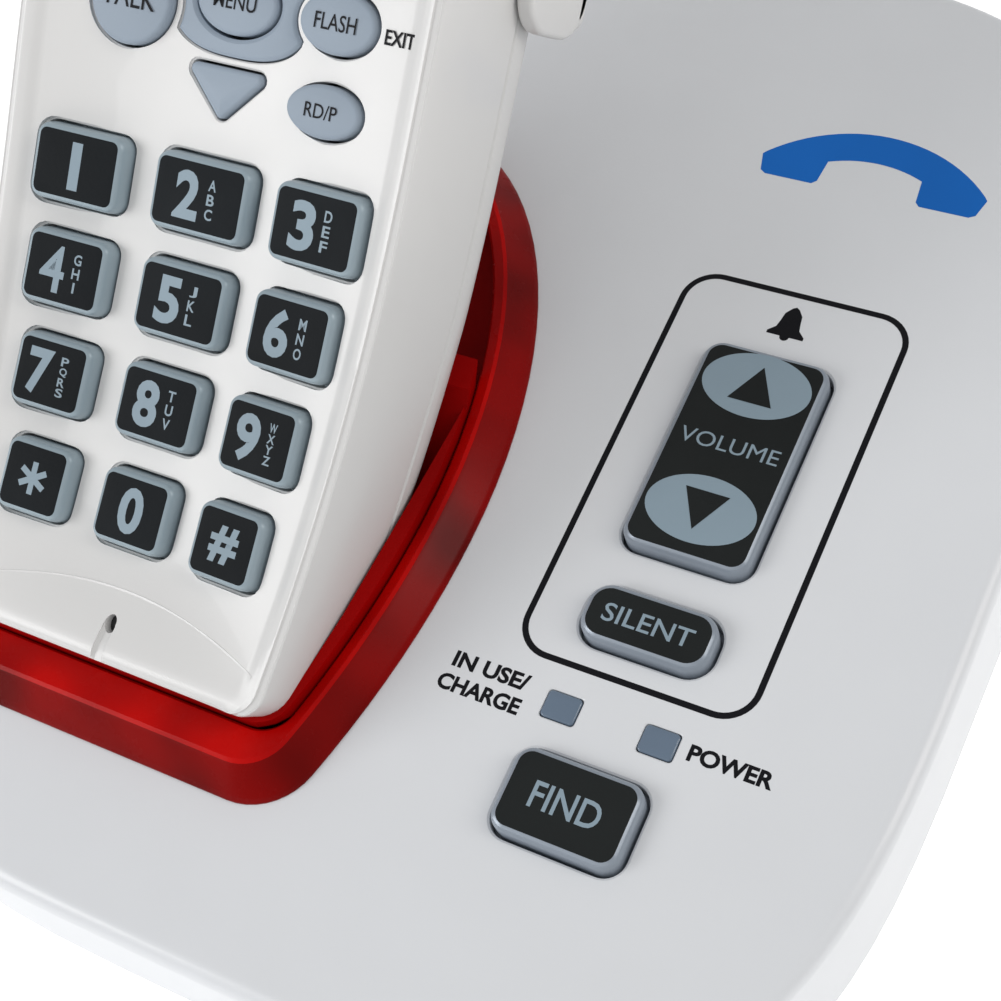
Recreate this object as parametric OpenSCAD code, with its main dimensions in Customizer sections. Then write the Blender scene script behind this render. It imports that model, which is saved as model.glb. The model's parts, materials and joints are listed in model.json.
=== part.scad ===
// Cordless desk telephone: a handset that stands in the cradle of a charging base.
// Millimetres. +X is to the right, +Y to the back, +Z up; the base stands on z = 0.
// "Deck" is the sloping top of the base; its own frame has its origin at the centre of the
// bell-control panel. "s" is the distance along the handset's face from the chin end, and "d"
// is the depth below that face.

/* [Base] */
// Width of the base
base_w = 150; // [140:1:160]
// Depth of the base
base_d = 165; // [158:1:175]
// Squareness of the base outline, 2 is an ellipse
base_power = 3.9; // [3:0.1:5]
// Slope of the deck, front edge lower
deck_tilt = 7; // [5:0.5:9]
// Height of the deck at the centre of the bell-control panel
deck_height = 28; // [27:0.5:34]
// Roundness of the edge of the deck
edge_r = 3; // [2:0.5:4]
// Wall thickness of the mouldings
wall = 2.2; // [1.8:0.1:2.6]

/* [Controls on the deck] */
// Distance from the base's centre line to the controls' centre line
panel_x = 38.6; // [36:0.2:40]
// Length and width of the volume rocker
rocker_size = [17, 31]; // [10:1:34]
// Length and width of the silent key
silent_size = [17, 7.8]; // [6:0.2:20]
// Length and width of the handset-finder key
find_size = [16.6, 11]; // [8:0.2:20]
// Height of the controls above the deck
control_rise = 2; // [1.2:0.1:2.6]

/* [Cradle] */
// Distance from the base's centre line to the handset's centre line
cradle_x = -24; // [-26:0.5:-22]
// Half width of the ringer lens
ring_half_w = 36; // [35:0.5:37]
// Rise of the ringer lens above the deck
ring_rise = 4.2; // [3:0.2:5]
// Width of the lens's sloping outer band
ring_bevel = 3.8; // [3:0.2:4.4]

/* [Handset] */
// Length of the handset
handset_len = 156; // [150:1:158]
// Half width at the upper part of the handset
handset_half_w = 29.3; // [28:0.1:30]
// Narrowing of each side towards the chin
chin_narrowing = 3.5; // [3:0.1:5]
// Thickness of the upper part of the handset
handset_t = 29; // [27:0.5:30]
// Slope of the face at the chin, above the deck's slope
chin_slope = 24; // [22:0.5:26]
// Slope of the straight upper part of the face, above the deck's slope
mid_slope = 38; // [36:0.5:40]
// Height of the chin edge above the deck
chin_rise = 9.2; // [8:0.2:11]
// Depth of the dished area round the keys
dish_depth = 4; // [2:0.2:4.2]

/* [Keys] */
// Distance from the chin to each row of digit keys, lowest row first
row_s = [18.8, 32.1, 45.1, 58]; // [15:0.1:62]
// Distance between columns in each row
row_dx = [14.9, 16, 17, 17.7]; // [14:0.1:19]
// Width of the middle key in each row
row_key_w = [10.8, 12, 13, 14]; // [9:0.1:15]
// Width of the outer keys as a share of the middle ones
outer_key_scale = 0.92; // [0.85:0.01:1]
// Height of a digit key along the face
key_h = 9.6; // [8:0.1:10]
// Rise of the middle digit keys above the dished face
key_rise = 2.1; // [1.5:0.1:2.4]
// Rise of the outer digit keys above the middle ones
outer_key_rise = 1.4; // [0:0.1:2]
// Stroke of every push key
key_travel = 1.2; // [0.8:0.1:1.4]

/* [Hidden] */
$fn = 48;
eps = 0.01;
gap = 0.4;                       // clearance around what moves
foot_t = 1.5;                    // feet below the bottom shell
seam_z = 7;                      // height where the two base shells meet
panel_y = -2.8;                  // panel centre, from the base's centre
cap_lip = 1;                     // retaining flange of a key
mat_t = 1;                       // rubber mat under the keys

// ---- outlines ----
function superellipse(hw, hd, p) = [for (a = [0:4:356])
    [hw * sign(cos(a)) * pow(abs(cos(a)), 2 / p), hd * sign(sin(a)) * pow(abs(sin(a)), 2 / p)]];
function unit(v) = v / norm(v);
function inset(pts, d) = let (n = len(pts)) [for (i = [0:n - 1])
    let (t = unit(pts[(i + 1) % n] - pts[(i + n - 1) % n])) pts[i] + d * [-t.y, t.x]];
function arc(c, r, a0, a1, steps) = [for (i = [0:steps]) let (a = a0 + (a1 - a0) * i / steps)
    c + r * [cos(a), sin(a)]];
function rounded(w, h, r) = concat(
    arc([w / 2 - r, h / 2 - r], r, 0, 90, 5), arc([r - w / 2, h / 2 - r], r, 90, 180, 5),
    arc([r - w / 2, r - h / 2], r, 180, 270, 5), arc([w / 2 - r, r - h / 2], r, 270, 360, 5));

base_outline = superellipse(base_w / 2, base_d / 2, base_power);

// Ringer lens outline, in deck coordinates about the handset's centre line: an elliptical back,
// sides that draw in towards the front, round front corners and a straight front.
ring_mid_y = -18;
ring_back = 60.5;
ring_front_y = -60;
ring_corner = 9;
side_draw = 0.0038;
side_lean = 15;                  // slope of the sides where they meet the front corners
function ring_side(y) = ring_half_w - side_draw * pow(y - ring_mid_y, 2);
function ring_pts(i, front, r) = let (
    end = front + r * (1 - sin(side_lean)), cx = ring_side(end) - i - r * cos(side_lean),
    side = [for (k = [1:6]) let (y = ring_mid_y + (end - ring_mid_y) * k / 7)
        [ring_side(y) - i, y]]) concat(
    [for (a = [0:6:180]) [(ring_half_w - i) * cos(a), ring_mid_y + (ring_back - i) * sin(a)]],
    [for (p = side) [-p.x, p.y]],
    arc([-cx, front + r], r, 180 + side_lean, 270, 5),
    arc([cx, front + r], r, 270, 360 - side_lean, 5),
    [for (k = [5:-1:0]) side[k]]);
opening_inset = 5.8;             // from the lens's outline to its opening, at the sides
opening_front = -51.3;
opening_r = 4.5;

// ---- handset side profile, in the (y, z) plane ----
slope_gain = 0.22;               // degrees of slope gained per millimetre of face
run_in = 8;                      // profile kept below the chin, trimmed by the plan outline
ds = 4;
steps = ceil((handset_len + run_in + 8) / ds);
chin_deck_y = -52.2;
function slope(s) = deck_tilt + min(mid_slope, chin_slope + slope_gain * max(0, s));
dish_start = 3;                  // from the chin edge to where the dish begins
dish_run = 12;                   // length of face over which it deepens
rim_w = 3;                       // width of the rim left beside the dish
function dish(s) = dish_depth * min(1, max(0, s - dish_start) / dish_run);
chin_pt = [panel_y + chin_deck_y * cos(deck_tilt) - chin_rise * sin(deck_tilt),
    deck_height + chin_deck_y * sin(deck_tilt) + chin_rise * cos(deck_tilt)];
face_pts = [for (i = 0, p = chin_pt - run_in * [cos(slope(0)), sin(slope(0))]; i <= steps;
    p = p + ds * [cos(slope((i + 0.5) * ds - run_in)), sin(slope((i + 0.5) * ds - run_in))],
    i = i + 1) p];
function face_at(s) = let (q = (s + run_in) / ds, i = min(steps - 1, floor(q)), f = q - i)
    face_pts[i] * (1 - f) + face_pts[i + 1] * f;
function below(s, d) = face_at(s) + d * [sin(slope(s)), -cos(slope(s))];
function thick(s) = min(handset_t, handset_t - 5 + 0.1 * max(0, s));
function parting(s) = min(19, 16.5 + 0.05 * max(0, s));

// ---- handset plan outline, seen square to its mean slope ----
mean_slope = deck_tilt + 35;
ear_r = 20;
chin_r = 5;
plan_len = handset_len - 2;
function half_w(u) = handset_half_w - chin_narrowing * pow(max(0, 90 - u) / 90, 2);
function plan_half(i) = concat(
    arc([half_w(0) - chin_r, chin_r], chin_r - i, -90, 0, 5),
    [for (u = [12:12:plan_len - ear_r - 10]) [half_w(u) - i, u]],
    arc([handset_half_w - ear_r, plan_len - ear_r], ear_r - i, 0, 90, 10));
function mirrored(pts) = [for (k = [len(pts) - 1:-1:0]) [-pts[k].x, pts[k].y]];
function plan_outline(i) = concat(plan_half(i), mirrored(plan_half(i)));

// ---- positions ----
ear_s = 141;                     // centre of the earpiece
lcd_s = 112;                     // centre of the display
lcd_size = [42, 23];
window_t = 1.2;                  // display window and earpiece grille
mic_x = 1.9;
mic_s = 4.9;
board_d = 10.8;                  // the handset's circuit board
board_s = [18, 127];

// Keys above the digits: [x, s, width, height, rise above the dished face]
talk = [-14.3, 79.4, 11.3, 11.3, 2.1];
off = [20, 91.4, 10.6, 9.6, 3.2];
menu = [0.2, 81.3, 11.4, 7.8, 1.1];
up = [0.1, 92.2, 11, 6.2, 0.9];
down = [0.1, 70.3, 11, 6.2, 0.9];
flash = [15.1, 81.2, 10.8, 7.2, 2.5];
redial = [15.1, 71.1, 10.6, 6.2, 2.5];
nav_at = [0.6, 81.3];            // plate round the menu key
nav_half = [9.9, 6.5];
nav_rise = 0.5;
nav_web = 1.2;                   // from the plate to the keys beside it
contact_s = 11;
contact_x = 9;
door_s0 = 97;
door_size = [36, 44];
door_t = 2;
pivot_in = 1.5;                  // from the battery door's lower edge to its hinge pins
door_swing_r = 2.2;              // room for that edge to turn in
jack_s = 60;
jack_d = 14.9;
jack_bore_r = 1.3;
led_x = [-6.2, 6.5];
led_y = -34.6;
led_size = [4.5, 3.6];
rocker_y = 3.2;
rocker_pivot_z = -3.8;
silent_y = -21.9;
find_y = -46;
socket_z = 13;                   // inlet and line jack, in notches in the back wall
line_x = -22;
inlet_x = 2;
boss_xy = [[-64, -48], [61, -52], [-64, 46], [61, 46]];
foot_xy = [[-56, -62], [56, -62], [-56, 62], [56, 62]];
speaker_xy = [38, 40];
clip_s = 91.5;                   // centre of the belt clip's arms
hs_boss_x = 24.6;
hs_boss_s = 104;

// ---- outlines of the keys ----
function oval(w, h) = superellipse(w / 2, h / 2, 2);
function arrow(w, h, r, up) = let (m = up ? 1 : -1, pts = concat(
    arc([0, h / 2 - 1.7 * r], r, 35, 145, 5), arc([-w / 2 + 1.6 * r, r - h / 2], r, 145, 270, 5),
    arc([w / 2 - 1.6 * r, r - h / 2], r, 270, 395, 5))) m > 0 ? pts
    : [for (p = pts) -p];
function digit_pts(row, col) =
    rounded(row_key_w[row] * (col == 0 ? 1 : outer_key_scale), key_h, 1.7);

// ---- placement helpers ----
module on_deck() {
    translate([panel_x, panel_y, deck_height])
        rotate([deck_tilt, 0, 0])
            children();
}
// Square to the deck, d below it, centred on the base's own centre line.
module on_base_axis(d) {
    on_deck()
        translate([-panel_x, -(panel_y + d * sin(deck_tilt)) / cos(deck_tilt), -d])
            children();
}
module in_cradle() {
    on_deck()
        translate([cradle_x - panel_x, 0, 0])
            children();
}
module on_face(x, s, d = 0) {
    p = below(s, d);
    translate([cradle_x + x, p.x, p.y])
        rotate([slope(s), 0, 0])
            children();
}
module plate(pts, t) {
    linear_extrude(t)
        polygon(pts);
}
module under_deck(d) {
    on_deck()
        translate([-200, -200, -d - 100])
            cube([400, 400, 100]);
}
module profile(pts, w) {
    translate([cradle_x, 0, 0])
        rotate([90, 0, 90])
            linear_extrude(w, center = true)
                polygon(pts);
}
module handset_solid(i, top, bottom, s0 = -run_in, s1 = handset_len + 6) {
    stations = [for (s = [s0:ds:s1]) s];
    upper = [for (s = stations) below(s, top(s))];
    lower = [for (k = [len(stations) - 1:-1:0]) below(stations[k], bottom(stations[k]))];
    intersection() {
        profile(concat(upper, lower), 90);
        translate([cradle_x, chin_pt.x, chin_pt.y])
            rotate([mean_slope, 0, 0])
                translate([0, 0, -60])
                    plate(plan_outline(i), 120);
    }
}

// A push key: its cap stands through the face, a lip below holds it in.
module push_key(pts, rise) {
    translate([0, 0, -wall - gap])
        plate(pts, rise + wall + gap);
    translate([0, 0, -wall - gap - cap_lip])
        plate(inset(pts, -cap_lip), cap_lip);
}
module key_hole(pts) {
    translate([0, 0, -6])
        plate(inset(pts, -gap), 12);
}
// Square to the floor of the dish, in which the keys stand.
module in_dish(x, s, d = 0) {
    on_face(x, s, dish(s) + d)
        children();
}
// The plate round the menu key, cut back to clear the keys beside it.
module nav_outline(grow, t) {
    difference() {
        plate(superellipse(nav_half.x + grow, nav_half.y + grow, 2.6), t);
        for (k = [talk, flash])
            translate([k.x - nav_at.x, k.y - nav_at.y, -1])
                plate(inset(oval(k[2], k[3]), grow - nav_web), t + 2);
    }
}

// ---- base ----
module base_top_shell() {
    deck_outline = superellipse(base_w / 2, base_d / 2 / cos(deck_tilt), base_power);
    color("white")
    difference() {
        union() {
            difference() {
                hull() {
                    translate([0, 0, seam_z])
                        plate(base_outline, eps);
                    for (k = [[0, 1], [0.3, 0.3], [1, 0]])
                        on_base_axis(edge_r * k[1] + eps)
                            plate(inset(deck_outline, edge_r * k[0]), eps);
                }
                intersection() {
                    translate([0, 0, seam_z - 1])
                        plate(inset(base_outline, wall), 60);
                    under_deck(wall);
                }
            }
            intersection() {
                for (p = boss_xy)
                    translate([p.x, p.y, seam_z])
                        cylinder(r = 3.2, h = 40);
                under_deck(wall - 0.5);
            }
            on_deck()
                for (x = [-11.6, 10.4])
                    translate([x, rocker_y - 2.5, -5.4])
                        cube([1.2, 5, 3.6]);
        }
        in_cradle()
            translate([0, 0, -10])
                plate(inset(ring_pts(0, ring_front_y, ring_corner), -0.1), 20);
        deck_hole(rounded(rocker_size.x, rocker_size.y, 2.5), rocker_y);
        deck_hole(rounded(silent_size.x, silent_size.y, 3), silent_y);
        deck_hole(rounded(find_size.x, find_size.y, 2.4), find_y);
        for (x = led_x)
            on_deck()
                translate([x, led_y, -5])
                    plate(rounded(led_size.x, led_size.y, 0.4), 10);
        on_deck()
            translate([0, rocker_y, rocker_pivot_z])
                rotate([0, 90, 0])
                    cylinder(r = 1.06, h = 30, center = true);
        for (p = boss_xy)
            translate([p.x, p.y, seam_z - 1])
                cylinder(r = 1.25, h = 8);
        socket_notch(line_x, 13.4);
        socket_notch(inlet_x, 9.4);
    }
}
module socket_notch(x, w) {
    low = seam_z - 1;
    translate([x - w / 2, base_d / 2 - 6, low])
        cube([w, 12, socket_z + 5.7 - low]);
}
module deck_hole(pts, y) {
    on_deck()
        translate([0, y, 0])
            key_hole(pts);
}
module base_bottom_shell() {
    color("white")
    difference() {
        union() {
            difference() {
                translate([0, 0, foot_t])
                    plate(inset(base_outline, 0.5), seam_z - foot_t);
                translate([0, 0, foot_t + wall])
                    plate(inset(base_outline, 0.5 + wall), seam_z);
            }
            for (p = boss_xy)
                translate([p.x, p.y, foot_t])
                    cylinder(r = 3.2, h = seam_z - foot_t);
        }
        for (p = boss_xy)
            translate([p.x, p.y, 0]) {
                cylinder(r = 1.5, h = 20);
                cylinder(r = 3, h = foot_t + 1.3);
            }
        for (i = [-3:3])
            translate([speaker_xy.x - 10, speaker_xy.y + 3.6 * i - 0.7, 0])
                cube([20, 1.4, 10]);
    }
}
module ringer_lens() {
    color("red")
    in_cradle()
        difference() {
            union() {
                translate([0, 0, -wall - 2])
                    plate(ring_pts(-1.8, ring_front_y - 1.8, ring_corner + 1.8), 2);
                translate([0, 0, -wall])
                    plate(ring_pts(0.05, ring_front_y + 0.05, ring_corner), wall);
                hull() {
                    plate(ring_pts(0.05, ring_front_y + 0.05, ring_corner), eps);
                    translate([0, 0, ring_rise - eps])
                        plate(ring_pts(ring_bevel, ring_front_y + ring_bevel, 6.5), eps);
                }
            }
            translate([0, 0, -10])
                plate(ring_pts(opening_inset, opening_front, opening_r), 30);
        }
}
// The space that the handset sweeps as it lifts straight out of the cradle, grown by c.
module handset_sweep(c) {
    m = [cos(mean_slope), sin(mean_slope)];
    front = chin_pt - c * m;
    heel = front + (thick(0) + c) * [m.y, -m.x];
    rear = [for (s = [4:4:60]) below(s, thick(s) + c)];
    intersection() {
        profile(concat([front + [0, 90], front, heel], rear, [rear[len(rear) - 1] + [0, 90]]), 90);
        translate([cradle_x, chin_pt.x, chin_pt.y])
            rotate([mean_slope, 0, 0])
                translate([0, 0, -60])
                    plate(inset(plan_outline(0), -c), 120);
    }
}
module cradle_tray() {
    color("maroon")
    difference() {
        union() {
            in_cradle()
                translate([0, 0, -wall - 4])
                    plate(ring_pts(3.2, -56.5, 6.5), 2);
            intersection() {
                in_cradle()
                    translate([0, 0, -20])
                        plate(ring_pts(opening_inset + 0.2, opening_front + 0.2, opening_r), 25);
                handset_sweep(2.8);
            }
        }
        handset_sweep(0.6);
        for (x = [-contact_x, contact_x])
            on_face(x, contact_s, thick(contact_s))
                translate([0, 0, -8])
                    cylinder(r = 1.4, h = 12);
    }
}
module base_board() {
    color("darkgreen")
    on_deck()
        translate([-22, -56, -11])
            cube([38, 106, 1.6]);
}
module ringer_light_board() {
    in_cradle() {
        color("darkgreen")
        difference() {
            translate([0, 0, -8])
                plate(ring_pts(-1.5, ring_front_y - 1.5, ring_corner + 1), 1.2);
            translate([0, 0, -9])
                plate(ring_pts(2.9, ring_front_y + 3.2, 6.5), 4);
        }
        color("ivory")
        for (p = [[-34.6, -20], [34.6, -20], [-32.4, -42], [32.4, -42], [-18, -58.8], [18, -58.8]])
            translate([p.x - 1, p.y - 1, -6.9])
                cube([2, 2, 1.6]);
    }
}
module base_speaker() {
    color("dimgray")
    translate([speaker_xy.x, speaker_xy.y, foot_t + wall])
        difference() {
            union() {
                cylinder(r = 17, h = 2.4);
                translate([0, 0, 2])
                    cylinder(r = 9, h = 5);
            }
            translate([0, 0, -1])
                cylinder(r = 14, h = 2);
        }
}
module status_lens(x) {
    on_deck()
        translate([x, led_y, 0]) {
            translate([0, 0, -wall - 0.8])
                plate(rounded(led_size.x - 0.1, led_size.y - 0.1, 0.4), wall + 1);
            translate([0, 0, -wall - 1])
                plate(rounded(led_size.x + 1.6, led_size.y + 1.6, 0.6), 1);
        }
}
module in_use_lens() {
    color("slategray")
    status_lens(led_x[0]);
}
module power_lens() {
    color("slategray")
    status_lens(led_x[1]);
}
module status_leds() {
    color("ivory")
    on_deck()
        for (x = led_x)
            translate([x, led_y, -9.4]) {
                cylinder(r = 1.5, h = 3.6);
                translate([-1.8, -1.8, 0])
                    cube([3.6, 3.6, 1]);
            }
}
module volume_rocker() {
    pts = rounded(rocker_size.x, rocker_size.y, 2.5);
    color("slategray")
    on_deck()
        translate([0, rocker_y, 0]) {
            translate([0, 0, -wall - 1.4])
                plate(pts, control_rise + wall + 1.4);
            translate([0, 0, -wall - 2.2])
                plate(inset(pts, -0.9), 1);
            translate([0, 0, rocker_pivot_z])
                rotate([0, 90, 0])
                    cylinder(r = 1, h = 23, center = true);
        }
}
module silent_key() {
    color("slategray")
    on_deck()
        translate([0, silent_y, 0])
            push_key(rounded(silent_size.x, silent_size.y, 3), control_rise);
}
module find_key() {
    color("slategray")
    on_deck()
        translate([0, find_y, 0])
            push_key(rounded(find_size.x, find_size.y, 2.4), control_rise);
}
module base_key_mat() {
    color("gray")
    on_deck()
        difference() {
            union() {
                translate([0, -16, -6.5])
                    plate(rounded(20, 76, 2), mat_t);
                for (y = [find_y, silent_y, rocker_y - 10, rocker_y + 10])
                    translate([0, y, -9.3])
                        cylinder(r = 3, h = 3);
            }
            for (x = led_x)
                translate([x, led_y, -12])
                    plate(rounded(led_size.x + 1.6, led_size.y + 1.6, 0.6), 10);
        }
}
module charge_contact(x) {
    color("gold")
    on_face(x, contact_s, thick(contact_s)) {
        translate([0, 0, -6])
            cylinder(r = 1.1, h = 5.5);
        translate([0, 0, -4.3])
            cylinder(r = 2, h = 0.8);
    }
}
module left_charge_contact() {
    charge_contact(-contact_x);
}
module right_charge_contact() {
    charge_contact(contact_x);
}
module dc_inlet() {
    color("black")
    translate([inlet_x, base_d / 2 - 0.6, socket_z]) {
        difference() {
            translate([-4.5, -13, -5.5])
                cube([9, 13, 11]);
            rotate([90, 0, 0])
                translate([0, 0, -1])
                    cylinder(r = 2.75, h = 10);
        }
        rotate([90, 0, 0])
            translate([0, 0, 1])
                cylinder(r = 0.9, h = 9);
    }
}
module line_jack() {
    color("black")
    translate([line_x, base_d / 2 - 0.6, socket_z])
        difference() {
            translate([-6.5, -13, -5.5])
                cube([13, 13, 11]);
            translate([-4.9, -10, -3.4])
                cube([9.8, 11, 6.8]);
        }
}
module rubber_feet() {
    color("dimgray")
    for (p = foot_xy)
        translate([p.x, p.y, 0])
            cylinder(r = 6, h = foot_t);
}
module base_screws() {
    color("silver")
    for (p = boss_xy)
        translate([p.x, p.y, foot_t + 0.1]) {
            difference() {
                cylinder(r = 2.8, h = 1.2);
                for (a = [0, 90])
                    rotate(a)
                        translate([-1.6, -0.3, -0.3])
                            cube([3.2, 0.6, 1]);
            }
            translate([0, 0, 1])
                cylinder(r = 1.15, h = 11);
        }
}

// ---- handset ----
module handset_front_shell() {
    color("white")
    difference() {
        union() {
            difference() {
                handset_solid(0, function (s) 0, function (s) parting(s));
                handset_solid(wall, function (s) wall + dish(s), function (s) parting(s) + 1);
                handset_solid(rim_w, function (s) -1, function (s) dish(s));
            }
            for (x = [-hs_boss_x, hs_boss_x])
                on_face(x, hs_boss_s, parting(hs_boss_s))
                    cylinder(r = 2.4, h = parting(hs_boss_s) - dish_depth - 1);
        }
        for (x = [-hs_boss_x, hs_boss_x])
            on_face(x, hs_boss_s, parting(hs_boss_s) + 1)
                cylinder(r = 1.1, h = 12);
        for (row = [0:3], col = [-1:1])
            in_dish(col * row_dx[row], row_s[row])
                key_hole(digit_pts(row, col));
        for (k = [talk, off, flash, redial])
            in_dish(k.x, k.y)
                key_hole(oval(k[2], k[3]));
        for (k = [up, down])
            in_dish(k.x, k.y)
                key_hole(arrow(k[2], k[3], 1, k.y > nav_at.y));
        in_dish(nav_at.x, nav_at.y, 6)
            nav_outline(0.1, 12);
        in_dish(0, lcd_s, 6)
            plate(rounded(lcd_size.x - 4, lcd_size.y - 4, 1.5), 12);
        in_dish(0, lcd_s, window_t)
            plate(rounded(lcd_size.x, lcd_size.y, 2.5), 12);
        in_dish(0, ear_s, 6)
            plate(rounded(24, 6, 2.9), 12);
        in_dish(0, ear_s, window_t)
            plate(rounded(28, 9, 4.4), 12);
        on_face(mic_x, mic_s, 6)
            cylinder(r = 0.8, h = 10);
        on_face(-handset_half_w, jack_s, jack_d)
            rotate([0, 90, 0])
                cylinder(r = 2.7, h = 12, center = true);
    }
}
module handset_rear_shell() {
    door_mid = door_s0 + door_size.y / 2;
    color("white")
    difference() {
        union() {
            difference() {
                handset_solid(0, function (s) parting(s), function (s) thick(s));
                handset_solid(wall, function (s) parting(s) - 1, function (s) thick(s) - wall);
            }
            on_face(0, door_mid, handset_t - eps)
                plate(rounded(door_size.x + 5, door_size.y + 5, 3), handset_t - 14);
            for (x = [-hs_boss_x, hs_boss_x])
                on_face(x, hs_boss_s, handset_t - 0.5)
                    cylinder(r = 2.4, h = handset_t - 0.5 - parting(hs_boss_s));
        }
        on_face(0, door_mid, handset_t - door_t)
            plate(rounded(door_size.x - 2, door_size.y - 6, 1), 11.5);
        on_face(0, door_mid, handset_t + 1)
            translate([0, -gap / 2, 0])
                plate(rounded(door_size.x + 2 * gap, door_size.y + 3 * gap, 2), door_t + 1);
        on_face(0, door_s0 + pivot_in, handset_t - door_t / 2)
            rotate([0, 90, 0])
                cylinder(r = 0.86, h = door_size.x + 3.4, center = true);
        on_face(0, door_s0 + pivot_in, handset_t - door_t / 2)
            rotate([0, 90, 0])
                cylinder(r = door_swing_r, h = door_size.x + 2 * gap, center = true);
        for (x = [-hs_boss_x, hs_boss_x])
            on_face(x, hs_boss_s, handset_t + 1) {
                cylinder(r = 1.3, h = 14);
                cylinder(r = 2, h = 2.4);
            }
        for (x = [-contact_x, contact_x])
            on_face(x, contact_s, thick(contact_s) + 1)
                cylinder(r = 2.4, h = 6);
        belt_clip_notches();
    }
}
module belt_clip_notches() {
    for (x = [-1, 1])
        on_face(x * (handset_half_w + 0.2), clip_s - 1, 23)
            cube([3.2, 5, 5], center = true);
}
module earpiece_grille() {
    color("gray")
    in_dish(0, ear_s)
        difference() {
            translate([0, 0, -window_t])
                plate(rounded(27.8, 8.8, 4.3), window_t);
            for (i = [-4:4])
                translate([2.6 * i - 0.6, -2.2, -3])
                    cube([1.2, 4.4, 6]);
        }
}
module lcd_window() {
    color("lightsteelblue")
    in_dish(0, lcd_s, window_t)
        plate(rounded(lcd_size.x - 0.2, lcd_size.y - 0.2, 2.4), window_t);
}
module lcd_module() {
    color("darkseagreen")
    in_dish(0, lcd_s, 6.2)
        plate(rounded(lcd_size.x - 1, lcd_size.y - 0.5, 1), 3.6);
}
module nav_plate() {
    color("lightsteelblue")
    in_dish(nav_at.x, nav_at.y, wall)
        difference() {
            nav_outline(0, wall + nav_rise);
            translate([menu.x - nav_at.x, menu.y - nav_at.y, -1])
                plate(inset(oval(menu[2], menu[3]), -gap), 9);
        }
}
module earpiece_speaker() {
    color("dimgray")
    in_dish(0, ear_s - 1, 8.4)
        difference() {
            cylinder(r = 11.5, h = 5.8);
            translate([0, 0, 4.8])
                cylinder(r = 9.5, h = 3);
        }
}
module microphone() {
    color("silver")
    on_face(mic_x, mic_s + 0.9, 8)
        cylinder(r = 2.2, h = 2.8);
}
module handset_board() {
    color("darkgreen")
    on_face(0, lcd_s, board_d + 1.2)
        translate([-21.5, board_s[0] - lcd_s, 0])
            cube([43, board_s[1] - board_s[0], 1.2]);
}
module keypad_mat() {
    under_keys = wall + 2 * gap + cap_lip + key_travel + 0.3;
    color("gray")
    handset_solid(5, function (s) under_keys + dish(s),
        function (s) under_keys + dish(s) + mat_t, 10, 98);
}
module battery_door() {
    color("white")
    on_face(0, door_s0 + door_size.y / 2, handset_t) {
        difference() {
            plate(rounded(door_size.x, door_size.y, 1.6), door_t);
            translate([-6, door_size.y / 2 - 7, -1])
                cube([12, 2, 1.6]);
        }
        translate([0, pivot_in - door_size.y / 2, door_t / 2])
            rotate([0, 90, 0])
                cylinder(r = 0.8, h = door_size.x + 3, center = true);
    }
}
module battery_pack() {
    color("dodgerblue")
    on_face(0, door_s0 + door_size.y / 2, handset_t - door_t - 0.4)
        translate([-16.5, -18.5, 0])
            cube([33, 37, 10.6]);
}
module belt_clip() {
    arm_x = handset_half_w + 0.3;
    color("white")
    on_face(0, clip_s, 0) {
        for (m = [-1, 1]) {
            translate([m * (arm_x + 1.2), 0, -24])
                cube([2.4, 14, 16], center = true);
            translate([m * (arm_x - 0.7), -1, -23])
                cube([1.6, 4, 4], center = true);
        }
        translate([0, -1, -handset_t - 1.8])
            cube([2 * arm_x + 4.8, 9, 2], center = true);
        translate([-9, -38, -handset_t - 6.6])
            cube([18, 40, 2]);
        translate([-9, -6, -handset_t - 5])
            cube([18, 8, 3]);
    }
}
module headset_jack() {
    color("black")
    on_face(-28.4, jack_s, jack_d)
        rotate([0, 90, 0])
            difference() {
                cylinder(r = 2.6, h = 9);
                translate([0, 0, -1])
                    cylinder(r = jack_bore_r, h = 8);
            }
}
module charge_pads() {
    color("gold")
    for (x = [-contact_x, contact_x])
        on_face(x, contact_s, thick(contact_s))
            cylinder(r = 2.3, h = 1.2);
}
module handset_screws() {
    color("silver")
    for (x = [-hs_boss_x, hs_boss_x])
        on_face(x, hs_boss_s, handset_t - 0.5) {
            cylinder(r = 1.9, h = 0.8);
            cylinder(r = 1, h = 16);
        }
}
module digit_key(col, row) {
    color("slategray")
    in_dish(col * row_dx[row], row_s[row])
        push_key(digit_pts(row, col), key_rise + outer_key_rise * abs(col));
}
module key_1() { digit_key(-1, 3); }
module key_2() { digit_key(0, 3); }
module key_3() { digit_key(1, 3); }
module key_4() { digit_key(-1, 2); }
module key_5() { digit_key(0, 2); }
module key_6() { digit_key(1, 2); }
module key_7() { digit_key(-1, 1); }
module key_8() { digit_key(0, 1); }
module key_9() { digit_key(1, 1); }
module key_star() { digit_key(-1, 0); }
module key_0() { digit_key(0, 0); }
module key_hash() { digit_key(1, 0); }
module oval_key(k) {
    color("lightsteelblue")
    in_dish(k.x, k.y)
        push_key(oval(k[2], k[3]), k[4]);
}
module arrow_key(k) {
    color("lightsteelblue")
    in_dish(k.x, k.y)
        push_key(arrow(k[2], k[3], 1, k.y > nav_at.y), k[4]);
}
module talk_key() { oval_key(talk); }
module off_key() { oval_key(off); }
module menu_key() { oval_key(menu); }
module up_key() { arrow_key(up); }
module down_key() { arrow_key(down); }
module flash_key() { oval_key(flash); }
module redial_key() { oval_key(redial); }

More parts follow.
